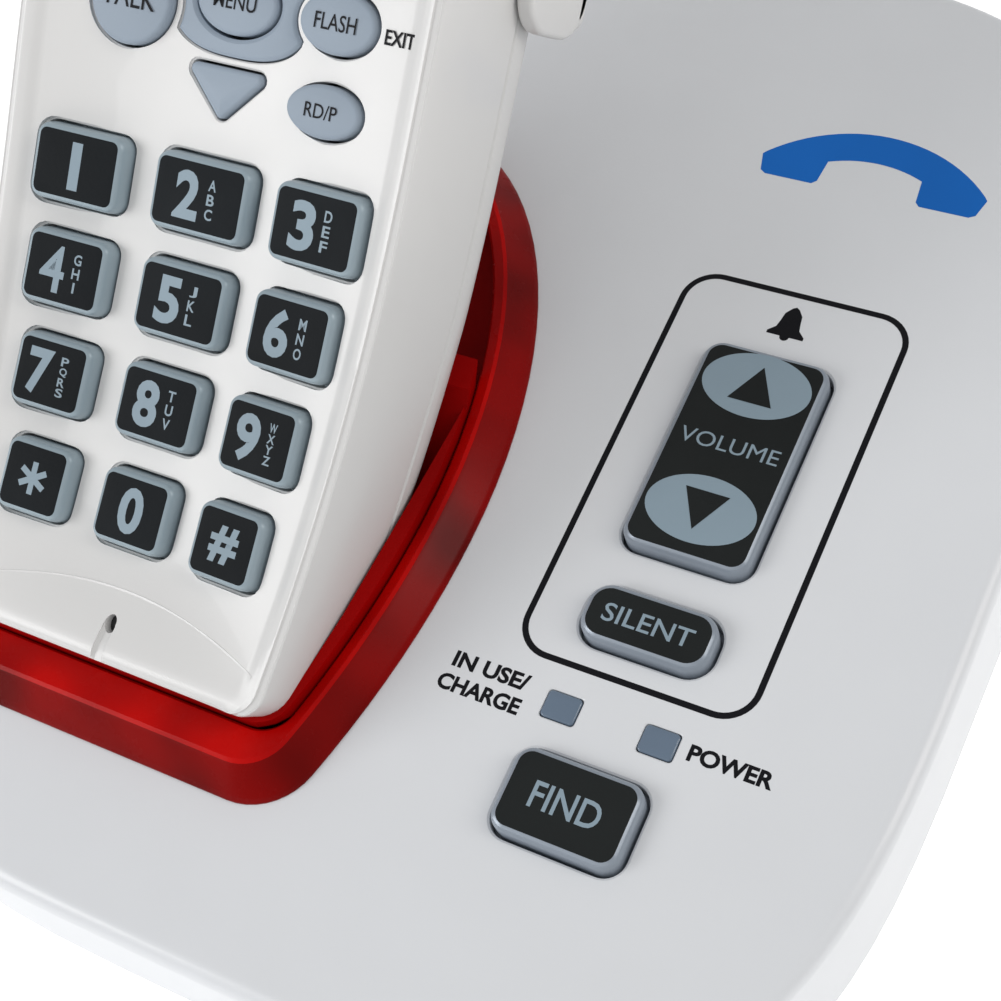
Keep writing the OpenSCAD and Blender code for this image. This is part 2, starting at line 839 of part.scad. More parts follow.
base_top_shell();
base_bottom_shell();
ringer_lens();
cradle_tray();
base_board();
ringer_light_board();
base_speaker();
in_use_lens();
power_lens();
status_leds();
volume_rocker();
silent_key();
find_key();
base_key_mat();
left_charge_contact();
right_charge_contact();
dc_inlet();
line_jack();
rubber_feet();
base_screws();
handset_front_shell();
handset_rear_shell();
earpiece_grille();
lcd_window();
lcd_module();
nav_plate();
earpiece_speaker();
microphone();
handset_board();
keypad_mat();
battery_door();
battery_pack();
belt_clip();
headset_jack();
charge_pads();
handset_screws();
key_1();
key_2();
key_3();
key_4();
key_5();
key_6();
key_7();
key_8();
key_9();
key_star();
key_0();
key_hash();
talk_key();
off_key();
menu_key();
up_key();
down_key();
flash_key();
redial_key();
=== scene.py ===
"""The finished look of a cordless desk telephone in its charging base.

Sizes are in millimetres in three local frames, and each frame's matrix brings them to metres:
the deck (origin at the centre of the bell-control panel), the cradle (the same, on the handset's
centre line) and the handset's face, where s is the distance up the face from the chin, x is
across it and d is the depth below it."""
import json
from math import asin, atan2, ceil, cos, degrees, floor, hypot, pi, radians, sin, sqrt

import bmesh
import bpy
from mathutils import Euler, Matrix, Vector


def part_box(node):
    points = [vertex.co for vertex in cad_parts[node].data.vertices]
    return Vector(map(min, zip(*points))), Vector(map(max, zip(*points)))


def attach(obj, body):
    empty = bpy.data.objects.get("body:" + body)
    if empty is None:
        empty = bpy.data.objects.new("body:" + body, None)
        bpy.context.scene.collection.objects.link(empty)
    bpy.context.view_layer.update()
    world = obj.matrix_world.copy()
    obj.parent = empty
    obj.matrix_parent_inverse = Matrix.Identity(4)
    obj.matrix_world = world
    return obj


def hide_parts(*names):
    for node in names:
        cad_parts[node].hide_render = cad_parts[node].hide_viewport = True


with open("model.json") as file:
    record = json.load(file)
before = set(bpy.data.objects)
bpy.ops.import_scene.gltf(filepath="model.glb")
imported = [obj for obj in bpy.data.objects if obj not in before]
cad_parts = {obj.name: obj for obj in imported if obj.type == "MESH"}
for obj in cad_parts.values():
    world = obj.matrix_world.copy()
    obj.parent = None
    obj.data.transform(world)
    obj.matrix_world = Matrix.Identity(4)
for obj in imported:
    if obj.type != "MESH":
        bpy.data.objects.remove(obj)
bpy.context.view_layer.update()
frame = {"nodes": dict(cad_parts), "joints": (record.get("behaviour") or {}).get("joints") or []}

# ---- driving sizes: the places and the outer sizes are the CAD's ----
PANEL = Vector((38.6, -2.8, 28))
BASE_W, BASE_D, BASE_POWER = 150, 165, 3.9
EDGE_R = 2                       # of the deck's edge, crisper than in the CAD
WALL = 2.2
SEAM_Z = 7
CRADLE_X = -24
RING_HALF_W, RING_BACK, RING_MID_Y, RING_FRONT_Y, RING_CORNER = 36, 60.5, -18, -60, 9
RING_RISE, RING_BEVEL, OPENING_INSET, OPENING_FRONT = 4.2, 3.8, 5.8, -51.3
RING_BOW = 0.0038                # how fast the lens's sides draw in towards the front
HANDSET_LEN, HANDSET_T, HANDSET_HALF_W = 154.2, 29, 29.3
CHIN_NARROWING, NARROWING_RUN, CHIN_R, EAR_R = 3.5, 90, 3.4, 20
CHIN_THINNING, THINNING_GAIN = 5, 0.1
PARTING_CHIN, PARTING_GAIN, PARTING_MAX = 16.5, 0.05, 19   # depth of the line between the shells
CHIN_DECK = (-52.2, 9.2)
CHIN_SLOPE, MID_SLOPE, SLOPE_GAIN = 24, 38, 0.22
ROW_S = [18.8, 32.1, 45.1, 58]
ROW_DX = [14.9, 16, 17, 17.7]
ROW_KEY_W = [10.8, 12, 13, 14]
OUTER_KEY_SCALE = 0.92
CLIP_S = 91.5
SOCKET_Z = 13
KEY_H = 9.6
KEY_RISE = 2.2
DISH, DISH_R = 4.05, 29          # depth of the dished face, and the half width it would span
DISH_START, DISH_END = (-3, 17.5), (147, 153.5)   # where it comes in and runs out, along s
EDGE_RISE = 2.4                  # how far from its edge the dish starts to rise
RIM = 1.4                        # width of the narrow band along each edge of the face
NAV_X, NAV_S = 0.6, 81.3
LCD_S, LCD_RECESS, LCD_OPENING = 112, (42, 23, 2.5), (38, 19, 1.5)     # width, height, corner
EAR_S, EAR_RECESS, EAR_OPENING = 141, (28, 9, 4.4), (24, 6, 2.9)
MIC_X, MIC_S = 1.9, 4.9
JACK_S, JACK_D = 60, 14.9        # the headset jack's place on the left side
DOOR_S0, DOOR_W, DOOR_H, DOOR_T, PIVOT_IN = 97, 36, 44, 2, 1.5
INK = 0.02                       # height of print over its surface
BUMP_DEPTH = 0.00005             # depth of the plastics' fine texture, in metres
CAMERA_LENS, CAMERA_PLACE = 63.216, (0.0998856, -0.1176775, 0.2068532)
CAMERA_TURN = (35.7322, 9.7040, 26.7893)
SHARP, SHARP_FINE = 28, 24       # faces that meet at more degrees than this show a crease
MM = Matrix.Scale(0.001, 4)


def joint(name):
    return next(j for j in frame["joints"] if j["name"] == name)


TILT = degrees(asin(joint("find_key_press")["axis"][1]))
DECK = MM @ Matrix.Translation(PANEL) @ Matrix.Rotation(radians(TILT), 4, "X")
CRADLE = DECK @ Matrix.Translation((CRADLE_X - PANEL.x, 0, 0))


# ---- outlines: anticlockwise lists of (x, y) ----
def signed_pow(v, p):
    return (1 if v >= 0 else -1) * abs(v) ** p


def superellipse(hw, hd, p, n=96):
    angles = [2 * pi * k / n for k in range(n)]
    return [(hw * signed_pow(cos(a), 2 / p), hd * signed_pow(sin(a), 2 / p)) for a in angles]


def arc(cx, cy, r, a0, a1, n):
    angles = [radians(a0 + (a1 - a0) * k / n) for k in range(n + 1)]
    return [(cx + r * cos(a), cy + r * sin(a)) for a in angles]


def rounded(w, h, r, n=6):
    x, y = w / 2 - r, h / 2 - r
    corners = ((x, y, 0), (-x, y, 90), (-x, -y, 180), (x, -y, 270))
    return [p for cx, cy, a in corners for p in arc(cx, cy, r, a, a + 90, n)]


def oval(w, h, n=48):
    return superellipse(w / 2, h / 2, 2, n)


def arrow(w, h, r, up):
    pts = (arc(0, h / 2 - 1.7 * r, r, 35, 145, 5) + arc(-w / 2 + 1.6 * r, r - h / 2, r, 145, 270, 5)
           + arc(w / 2 - 1.6 * r, r - h / 2, r, 270, 395, 5))
    return pts if up else [(-x, -y) for x, y in pts]


def inset(pts, d):
    """The outline moved inwards by d, each point along its own normal."""
    out = []
    for k, (x, y) in enumerate(pts):
        ax, ay = pts[k - 1]
        bx, by = pts[(k + 1) % len(pts)]
        tx, ty = bx - ax, by - ay
        size = hypot(tx, ty) or 1
        out.append((x - d * ty / size, y + d * tx / size))
    return out


def scaled(pts, k):
    return [(x * k, y * k) for x, y in pts]


def ring_side(y):
    return RING_HALF_W - RING_BOW * (y - RING_MID_Y) ** 2


def ring_outline(i, front, r):
    """The lens's plan, moved in by i at the back and sides, with its own straight front."""
    lean = 15
    end = front + r * (1 - sin(radians(lean)))
    cx = ring_side(end) - i - r * cos(radians(lean))
    ys = [RING_MID_Y + (end - RING_MID_Y) * k / 10 for k in range(1, 10)]
    side = [(ring_side(y) - i, y) for y in ys]
    back = [((RING_HALF_W - i) * cos(radians(a)), RING_MID_Y + (RING_BACK - i) * sin(radians(a)))
            for a in range(0, 181, 4)]
    return (back + [(-x, y) for x, y in side] + arc(-cx, front + r, r, 180 + lean, 270, 9)
            + arc(cx, front + r, r, 270, 360 - lean, 9) + side[::-1])


# ---- the handset's face ----
RUN_IN, FACE_REACH, DS = 8, 164, 4   # the face's line starts before the chin and ends past the top
STEPS = ceil((RUN_IN + FACE_REACH) / DS)


def slope(s):
    return TILT + min(MID_SLOPE, CHIN_SLOPE + SLOPE_GAIN * max(0, s))


def face_line():
    tilt = radians(TILT)
    y = PANEL.y + CHIN_DECK[0] * cos(tilt) - CHIN_DECK[1] * sin(tilt)
    z = PANEL.z + CHIN_DECK[0] * sin(tilt) + CHIN_DECK[1] * cos(tilt)
    start = radians(slope(0))
    pts = [Vector((y, z)) - RUN_IN * Vector((cos(start), sin(start)))]
    for k in range(STEPS + 1):
        a = radians(slope((k + 0.5) * DS - RUN_IN))
        pts.append(pts[-1] + DS * Vector((cos(a), sin(a))))
    return pts


FACE_LINE = face_line()


def below(s, d):
    """(y, z) of the point d under the middle of the face at s."""
    q = (s + RUN_IN) / DS
    k = min(STEPS - 1, floor(q))
    a = radians(slope(s))
    return FACE_LINE[k].lerp(FACE_LINE[k + 1], q - k) + d * Vector((sin(a), -cos(a)))


def on_face(x, s, d=0, roll=0):
    y, z = below(s, d)
    turn = Matrix.Rotation(radians(slope(s)), 4, "X") @ Matrix.Rotation(radians(roll), 4, "Y")
    return MM @ Matrix.Translation((CRADLE_X + x, y, z)) @ turn


def thick(s):
    return min(HANDSET_T, HANDSET_T - CHIN_THINNING + THINNING_GAIN * max(0, s))


def parting(s):
    return min(PARTING_MAX, PARTING_CHIN + PARTING_GAIN * max(0, s))


def smooth_step(a, b, v):
    t = max(0, min(1, (v - a) / (b - a)))
    return t * t * (3 - 2 * t)


def half_width(s):
    """Half the handset's width at s, with its rounded corners in plan."""
    w = HANDSET_HALF_W - CHIN_NARROWING * (max(0, NARROWING_RUN - s) / NARROWING_RUN) ** 2
    if s < CHIN_R:
        w -= CHIN_R - sqrt(max(0, CHIN_R ** 2 - (CHIN_R - s) ** 2))
    if s > HANDSET_LEN - EAR_R:
        w -= EAR_R - sqrt(max(0, EAR_R ** 2 - (s - HANDSET_LEN + EAR_R) ** 2))
    return w


def dish(s):
    """Depth of the middle of the face: flat at the chin and the top, dished between them."""
    return DISH * smooth_step(*DISH_START, s) * (1 - smooth_step(*DISH_END, s))


def face_height(s, x):
    """Height of the face at (x, s) over its rim: negative inside the dish."""
    span = half_width(s) - RIM
    edge = 1 - smooth_step(span - EDGE_RISE, span, abs(x))
    crease = 0.05 * max(0, 9.2 - 0.008 * x * x - s)
    return edge * (crease * smooth_step(0, 2, s) - dish(s) * max(0, 1 - (x / DISH_R) ** 2))


def face_roll(s, x):
    """Sideways tilt of the keys at (x, s), in degrees: half that of the face."""
    step = 0.5
    return -0.5 * degrees(atan2(face_height(s, x + step) - face_height(s, x - step), 2 * step))


# ---- mesh making ----
def skin(loops, band_mats=None, cap_mats=(0, 0), caps=(True, True)):
    """Joins closed loops of the same length into a closed surface: (verts, faces, materials)."""
    n = len(loops[0])
    verts = [p for loop in loops for p in loop]
    faces, mats = [], []
    for band in range(len(loops) - 1):
        a, b = band * n, (band + 1) * n
        for k in range(n):
            j = (k + 1) % n
            faces.append((a + k, a + j, b + j, b + k))
            mats.append(band_mats[band] if band_mats else 0)
    last = (len(loops) - 1) * n
    if caps[0]:
        faces.append(tuple(range(n))[::-1])
        mats.append(cap_mats[0])
    if caps[1]:
        faces.append(tuple(range(last, last + n)))
        mats.append(cap_mats[1])
    return verts, faces, mats


def at_height(pts, z):
    return [(x, y, z) for x, y in pts]


def stacked(pts, levels, **kw):
    """Levels of (inset, height), from the bottom up."""
    return skin([at_height(inset(pts, i), z) for i, z in levels], **kw)


def soft_edge(r, z, n=4):
    """Levels that round an upper edge of radius r under height z."""
    steps = [pi / 2 * k / n for k in range(n + 1)]
    return [(r * (1 - cos(a)), z - r + r * sin(a)) for a in steps]


def soft_block(pts, low, high, r, r_low=None):
    """A solid of outline pts from low to high with rounded upper and lower edges."""
    r_low = r if r_low is None else r_low
    under = [(i, low + high - z) for i, z in soft_edge(r_low, high)[::-1]]
    return stacked(pts, under + soft_edge(r, high))


def placed(part, place, mat=None):
    verts, faces, mats = part
    return [place @ Vector(v) for v in verts], faces, [mat] * len(faces) if mat is not None else mats


def lettering(text, height, place, bold=0.0, width=None, depth=INK, align="CENTER", mat=0):
    """Flat letters, depth over the place's plane, with its origin in their middle or at one end."""
    curve = bpy.data.curves.new("letters", "FONT")
    curve.body = text
    curve.align_x = align
    curve.align_y = "CENTER"
    curve.offset = bold
    curve.resolution_u = 4
    obj = bpy.data.objects.new("letters", curve)
    bpy.context.scene.collection.objects.link(obj)
    bpy.context.view_layer.update()
    mesh = bpy.data.meshes.new_from_object(obj.evaluated_get(bpy.context.evaluated_depsgraph_get()))
    flat = [(v.co.x, v.co.y) for v in mesh.vertices]
    polys = [tuple(p.vertices) for p in mesh.polygons]
    bpy.data.objects.remove(obj)
    xs, ys = [p[0] for p in flat], [p[1] for p in flat]
    tall = max(ys) - min(ys)
    ky = height / tall
    kx = ky if width is None else width / (max(xs) - min(xs))
    mid_x = (max(xs) + min(xs)) / 2 if align == "CENTER" else (max(xs) if align == "RIGHT" else min(xs))
    mid_y = (max(ys) + min(ys)) / 2
    verts = [place @ Vector(((x - mid_x) * kx, (y - mid_y) * ky, depth)) for x, y in flat]
    return verts, polys, [mat] * len(polys)


def flat_print(pts, place, z=INK, mat=0):
    return [place @ Vector((x, y, z)) for x, y in pts], [tuple(range(len(pts)))], [mat]


def flat_band(outer, inner, place):
    """A printed line between two outlines of the same length."""
    n = len(outer)
    verts = [place @ Vector((x, y, INK)) for x, y in outer + inner]
    faces = [(k, (k + 1) % n, n + (k + 1) % n, n + k) for k in range(n)]
    return verts, faces, [0] * n


def piece(name, parts, materials, body, replaced=()):
    """One object from several (verts, faces, materials) parts, already in metres."""
    verts, faces, mats = [], [], []
    for v, f, m in parts:
        base = len(verts)
        verts += [tuple(p) for p in v]
        faces += [tuple(k + base for k in face) for face in f]
        mats += m
    mesh = bpy.data.meshes.new(name)
    mesh.from_pydata(verts, [], faces)
    for material in materials:
        mesh.materials.append(material)
    for poly, m in zip(mesh.polygons, mats):
        poly.material_index = m
    obj = bpy.data.objects.new(name, mesh)
    bpy.context.scene.collection.objects.link(obj)
    soften(obj, SHARP)
    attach(obj, body)
    if replaced:
        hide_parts(*replaced)
    return obj


def soften(obj, sharp):
    """Smooth shading, with a crease wherever two faces meet at more than sharp degrees."""
    bm = bmesh.new()
    bm.from_mesh(obj.data)
    for face in bm.faces:
        face.smooth = True
    for edge in bm.edges:
        edge.smooth = len(edge.link_faces) == 2 and edge.calc_face_angle(0) < radians(sharp)
    bm.to_mesh(obj.data)
    bm.free()


def carve(obj, parts, sharp=SHARP):
    """Cuts closed parts, in metres, out of obj."""
    verts, faces = [], []
    for v, f, _ in parts:
        base = len(verts)
        verts += [tuple(p) for p in v]
        faces += [tuple(k + base for k in face) for face in f]
    mesh = bpy.data.meshes.new("cutter")
    mesh.from_pydata(verts, [], faces)
    bm = bmesh.new()
    bm.from_mesh(mesh)
    bmesh.ops.recalc_face_normals(bm, faces=bm.faces)
    bm.to_mesh(mesh)
    bm.free()
    cutter = bpy.data.objects.new("cutter", mesh)
    bpy.context.scene.collection.objects.link(cutter)
    mod = obj.modifiers.new("cut", "BOOLEAN")
    mod.operation = "DIFFERENCE"
    mod.solver = "EXACT"
    mod.object = cutter
    bpy.context.view_layer.update()
    graph = bpy.context.evaluated_depsgraph_get()
    result = bpy.data.meshes.new_from_object(obj.evaluated_get(graph))
    obj.modifiers.clear()
    obj.data = result
    bpy.data.objects.remove(cutter)
    soften(obj, sharp)


# ---- materials ----
def material(name, color, rough=0.4, specular=0.5, coat=0.0, **sockets):
    mat = bpy.data.materials.new(name)
    mat.use_nodes = True
    shader = mat.node_tree.nodes["Principled BSDF"]
    shader.inputs["Base Color"].default_value = (*color, 1)
    shader.inputs["Roughness"].default_value = rough
    shader.inputs["Specular IOR Level"].default_value = specular
    shader.inputs["Coat Weight"].default_value = coat
    for key, value in sockets.items():
        shader.inputs[key.replace("_", " ")].default_value = value
    return mat


def node(mat, kind, **settings):
    made = mat.node_tree.nodes.new(kind)
    for key, value in settings.items():
        if hasattr(made, key):
            setattr(made, key, value)
        else:
            made.inputs[key].default_value = value
    return made


def noise(mat, scale, detail=3.0):
    """Noise in the object's own space, scale being waves per metre."""
    coords = node(mat, "ShaderNodeTexCoord")
    mapping = node(mat, "ShaderNodeMapping")
    mapping.inputs["Scale"].default_value = [scale] * 3
    texture = node(mat, "ShaderNodeTexNoise", Scale=1.0, Detail=detail, Roughness=0.55)
    mat.node_tree.links.new(coords.outputs["Object"], mapping.inputs["Vector"])
    mat.node_tree.links.new(mapping.outputs["Vector"], texture.inputs["Vector"])
    return texture


def vary_color(mat, scale, colors, low=0.35, high=0.65, detail=3.0):
    ramp = node(mat, "ShaderNodeValToRGB")
    ends = (low, high)
    for stop, color, where in zip(ramp.color_ramp.elements, colors, ends):
        stop.color = (*color, 1)
        stop.position = where
    shader = mat.node_tree.nodes["Principled BSDF"]
    mat.node_tree.links.new(noise(mat, scale, detail).outputs["Fac"], ramp.inputs["Fac"])
    mat.node_tree.links.new(ramp.outputs["Color"], shader.inputs["Base Color"])


def vary_rough(mat, scale, low, high):
    span = node(mat, "ShaderNodeMapRange")
    span.inputs["To Min"].default_value = low
    span.inputs["To Max"].default_value = high
    shader = mat.node_tree.nodes["Principled BSDF"]
    mat.node_tree.links.new(noise(mat, scale, 4).outputs["Fac"], span.inputs["Value"])
    mat.node_tree.links.new(span.outputs["Result"], shader.inputs["Roughness"])


def grain(mat, scale, strength):
    bump = node(mat, "ShaderNodeBump")
    bump.inputs["Strength"].default_value = strength
    bump.inputs["Distance"].default_value = BUMP_DEPTH
    shader = mat.node_tree.nodes["Principled BSDF"]
    mat.node_tree.links.new(noise(mat, scale, 2).outputs["Fac"], bump.inputs["Height"])
    mat.node_tree.links.new(bump.outputs["Normal"], shader.inputs["Normal"])


def moulded(name, color, rough, spread=0.03, fine=2600, bump=0.25, **more):
    """Injection-moulded plastic: a slow drift of shade, a fine spark texture, uneven gloss."""
    mat = material(name, color, rough, **more)
    dark = tuple(c * (1 - spread) for c in color)
    light = tuple(min(1, c * (1 + spread)) for c in color)
    vary_color(mat, 28, (dark, light))
    vary_rough(mat, 160, rough * 0.88, rough * 1.12)
    grain(mat, fine, bump)
    return mat


def painted(name, color, rough, specular):
    return moulded(name, color, rough, spread=0.06, fine=3200, bump=0.15, specular=specular)


WHITE = moulded("satin_white", (0.70, 0.715, 0.735), 0.34, spread=0.015, fine=1900, bump=0.16, coat=0.15)
WARM_WHITE = moulded("handset_white", (0.67, 0.665, 0.655), 0.33, spread=0.015, fine=2100, bump=0.14,
                     coat=0.15)
KEY_GREY = moulded("key_silver", (0.31, 0.385, 0.43), 0.36, spread=0.05, fine=2600, bump=0.2,
                   Metallic=0.15)
KEY_EDGE = moulded("control_silver", (0.27, 0.31, 0.36), 0.30, spread=0.05, fine=2600, bump=0.15,
                   Metallic=0.2)
KEY_BLACK = moulded("key_black", (0.006, 0.008, 0.010), 0.5, spread=0.25, fine=2200, bump=0.35,
                    specular=0.08)
CONTROL_BLACK = moulded("control_black", (0.012, 0.014, 0.014), 0.45, spread=0.2, fine=2200, bump=0.3,
                        specular=0.15)
LEGEND = painted("legend_silver", (0.245, 0.32, 0.375), 0.4, 0.2)
PEARL = moulded("key_pearl", (0.30, 0.355, 0.42), 0.45, spread=0.05, fine=3000, bump=0.12,
                specular=0.15)
PRINT_BLACK = painted("print_black", (0.006, 0.006, 0.008), 0.5, 0.12)
PRINT_BLUE = painted("print_blue", (0.004, 0.13, 0.50), 0.45, 0.2)
WINDOW_BLUE = moulded("status_window", (0.11, 0.155, 0.215), 0.22, spread=0.08, fine=2600, bump=0.1,
                      coat=0.4)
TRAY_RED = moulded("cradle_red", (0.30, 0.001, 0.001), 0.5, spread=0.15, fine=1500, bump=0.3,
                   specular=0.05)
BLACK = moulded("black_plastic", (0.015, 0.015, 0.016), 0.45, spread=0.2, fine=1800, bump=0.4)
GRILLE = moulded("grille_grey", (0.09, 0.105, 0.125), 0.45, spread=0.1, fine=1800, bump=0.3)
RUBBER = moulded("soft_rubber", (0.03, 0.03, 0.032), 0.8, spread=0.2, fine=1200, bump=0.6)
SILICONE = moulded("silicone_grey", (0.25, 0.26, 0.27), 0.6, spread=0.05, fine=1500, bump=0.3)
BOARD = moulded("board_green", (0.01, 0.09, 0.03), 0.35, spread=0.3, fine=900, bump=0.3)
STEEL = moulded("zinc_steel", (0.55, 0.55, 0.56), 0.3, spread=0.08, fine=1400, bump=0.3, Metallic=1.0)
GOLD = moulded("gold_plate", (0.85, 0.62, 0.25), 0.25, spread=0.06, fine=1400, bump=0.15, Metallic=1.0)
CELL_WRAP = moulded("battery_wrap", (0.03, 0.12, 0.42), 0.28, spread=0.12, fine=500, bump=0.3)
LAMP = moulded("lamp_body", (0.75, 0.75, 0.68), 0.2, spread=0.03, fine=1200, bump=0.1)
LCD_GREEN = moulded("lcd_glass", (0.24, 0.29, 0.22), 0.18, spread=0.04, fine=900, bump=0.05)


def lens_red(name, dark, light):
    """Deep red translucent acrylic: mottled where the lamps and ribs behind it show through."""
    mat = material(name, light, 0.26, specular=0.09)
    vary_color(mat, 75, (dark, light), 0.3, 0.62, 1.0)
    vary_rough(mat, 220, 0.22, 0.32)
    grain(mat, 1500, 0.08)
    return mat


def clear_window():
    mat = material("clear_window", (0.9, 0.93, 0.95), 0.06, coat=0.3)
    mat.node_tree.nodes["Principled BSDF"].inputs["Transmission Weight"].default_value = 0.85
    vary_rough(mat, 300, 0.04, 0.09)
    return mat


# The lens's crest, ledge and inner wall take the second, lighter red: painted light for the light they catch
# from above, against the darker red of the outer band.
LENS_RED = lens_red("ringer_red", (0.11, 0.001, 0.0005), (0.24, 0.001, 0.0005))
LENS_RED_PAINTED_LIGHT = lens_red("ringer_red_painted_light", (0.27, 0.001, 0.001), (0.50, 0.002, 0.001))
CLEAR = clear_window()


# ---- the base ----
def deck_loop(i, d):
    """The deck's outline moved in by i at depth d, centred on the base at every depth."""
    tilt = radians(TILT)
    outline = superellipse(BASE_W / 2, BASE_D / 2 / cos(tilt), BASE_POWER, 144)
    y0 = -(PANEL.y + d * sin(tilt)) / cos(tilt)
    return [DECK @ Vector((x - PANEL.x, y + y0, -d)) for x, y in inset(outline, i)]


def floor_loop(i, z):
    outline = superellipse(BASE_W / 2, BASE_D / 2, BASE_POWER, 144)
    return [MM @ Vector((x, y, z)) for x, y in inset(outline, i)]


def lipped_hole(pts, place, down=8, lip=0.35, grow=0.4):
    """A cutter for a hole whose upper edge is eased."""
    levels = [(-grow, -down), (-grow, -lip), (-grow - 0.12 * lip, -0.45 * lip),
              (-grow - lip, 0.02), (-grow - lip, 3)]
    return placed(stacked(pts, levels), place)


LINE_SOCKET, POWER_SOCKET = (-22, 13.4, 11.2), (2, 9.4, 11.2)   # x, width, height
ROCKER_Y, SILENT_Y, FIND_Y, LED_Y, LED_X = 3.2, -21.9, -46, -34.6, (-6.2, 6.5)
ROCKER, SILENT, FIND = rounded(17, 31, 2.5, 8), rounded(17, 7.8, 3, 8), rounded(16.6, 11, 2.4, 8)
LED = rounded(4.5, 3.6, 0.4, 3)


def base_top_shell():
    loops = [floor_loop(WALL, SEAM_Z), floor_loop(0.35, SEAM_Z), floor_loop(0, SEAM_Z + 0.35)]
    turns = [radians(9 * k) for k in range(11)]
    loops += [deck_loop(EDGE_R * (1 - cos(a)), EDGE_R * (1 - sin(a))) for a in turns]
    loops += [deck_loop(EDGE_R + 0.5, 0)]
    top = skin(loops, caps=(False, True))
    return piece("base_top", [top, ceiling(loops[0])], [WHITE], "base",
                 ["base_top_shell"])


def ceiling(rim):
    """The inside of the top shell: its walls and the underside of the deck."""
    inner = [rim, deck_loop(WALL, WALL)]
    verts, faces, mats = skin(inner, caps=(False, True))
    return verts, [face[::-1] for face in faces], mats


def make_base():
    shell = base_top_shell()
    weld(shell)
    back = Matrix.Translation((0, BASE_D / 2, SOCKET_Z - 0.1))
    holes = [lipped_hole(ring_outline(0, RING_FRONT_Y, RING_CORNER), CRADLE, lip=0.02, grow=-0.2)]
    for pts, y in ((ROCKER, ROCKER_Y), (SILENT, SILENT_Y), (FIND, FIND_Y)):
        holes.append(lipped_hole(pts, DECK @ Matrix.Translation((0, y, 0))))
    for x in LED_X:
        holes.append(lipped_hole(LED, DECK @ Matrix.Translation((x, LED_Y, 0)), lip=0.2, grow=0.05))
    for x, w, h in (LINE_SOCKET, POWER_SOCKET):
        turn = MM @ back @ Matrix.Translation((x, 0, 0)) @ Matrix.Rotation(radians(90), 4, "X")
        holes.append(placed(stacked(rounded(w, h, 0.6), [(0, -5), (0, 6)]), turn))
    carve(shell, holes)
    deck_print()
    lens()
    for name, x in (("in_use_window", LED_X[0]), ("power_window", LED_X[1])):
        pts = rounded(4.4, 3.5, 0.5, 3)
        levels = [(0, -3)] + soft_edge(0.22, 0.16)
        part = skin([at_height(inset(pts, i), z) for i, z in levels]
                    + [at_height(scaled(pts, k), 0.2 + 0.04 * (0.8 - k)) for k in (0.8, 0.5, 0.2)])
        place = DECK @ Matrix.Translation((x, LED_Y, 0))
        piece(name, [placed(part, place)], [WINDOW_BLUE], "base",
              ["in_use_lens" if x < 0 else "power_lens"])


def weld(obj):
    bm = bmesh.new()
    bm.from_mesh(obj.data)
    bmesh.ops.remove_doubles(bm, verts=bm.verts, dist=1e-7)
    bmesh.ops.recalc_face_normals(bm, faces=bm.faces)
    bm.to_mesh(obj.data)
    bm.free()


def lens():
    """The ringer lens: a sloping outer band, a crest, and a ledge that leans into the cradle."""
    def loop(i, front, r, z):
        return at_height(ring_outline(i, front, r), z)
    f = RING_FRONT_Y
    loops = [loop(0.05, f + 0.05, RING_CORNER, -WALL), loop(0.05, f + 0.05, RING_CORNER, 0.25)]
    ease = [(0.25, 0.62), (0.6, 1.05)]
    loops += [loop(i, f + i, RING_CORNER - i * 0.6, z) for i, z in ease]
    crest = [(RING_BEVEL - 0.55, RING_RISE - 0.62), (RING_BEVEL - 0.2, RING_RISE - 0.2),
             (RING_BEVEL + 0.3, RING_RISE)]
    loops += [loop(i, f + i, 6.6, z) for i, z in crest]
    loops += [loop(OPENING_INSET - 0.35, OPENING_FRONT - 0.35, 4.7, RING_RISE - 0.5),
              loop(OPENING_INSET, OPENING_FRONT, 4.5, RING_RISE - 0.95),
              loop(OPENING_INSET, OPENING_FRONT, 4.5, -WALL - 2),
              loop(0.05, f + 0.05, RING_CORNER, -WALL - 2)]
    loops.append(loops[0])
    # The crest, ledge and inner wall get the lighter red as painted light from above; the outer band keeps
    # the darker red.
    mats = [0] * 5 + [1] * 4 + [0] * 2
    part = placed(skin(loops, mats, caps=(False, False)), CRADLE)
    lens_piece = piece("ringer_ring", [part], [LENS_RED, LENS_RED_PAINTED_LIGHT], "base", ["ringer_lens"])
    weld(lens_piece)
    soften(lens_piece, SHARP_FINE)


def bell(k):
    """A hand bell: a domed body, a flared lip and a clapper."""
    side = [(0.0, 3.1), (0.55, 2.75), (1.35, 1.7), (1.6, 0.2), (1.85, -0.9), (2.9, -1.9), (2.9, -2.4)]
    lip = [(0.95, -2.4)]
    clapper = arc(0, -2.4, 0.75, 0, -180, 6)
    right = side + lip + clapper
    pts = right + [(-x, y) for x, y in (side + lip)[::-1][:-1]]
    return [(x * k, y * k) for x, y in pts][::-1]


def pictogram():
    """A telephone handset lying on its back: two cups joined by a bowed grip."""
    right = [(6.9, -5.0), (7.5, -5.6), (14.2, -5.6), (15.0, -5.1), (15.7, -2.4)]
    outer = arc(0, -17, 21.5, 45, 135, 24)
    left = [(-x, y) for x, y in right[::-1]]
    return right + outer + left + arc(0, -17, 16.8, 113, 67, 14)


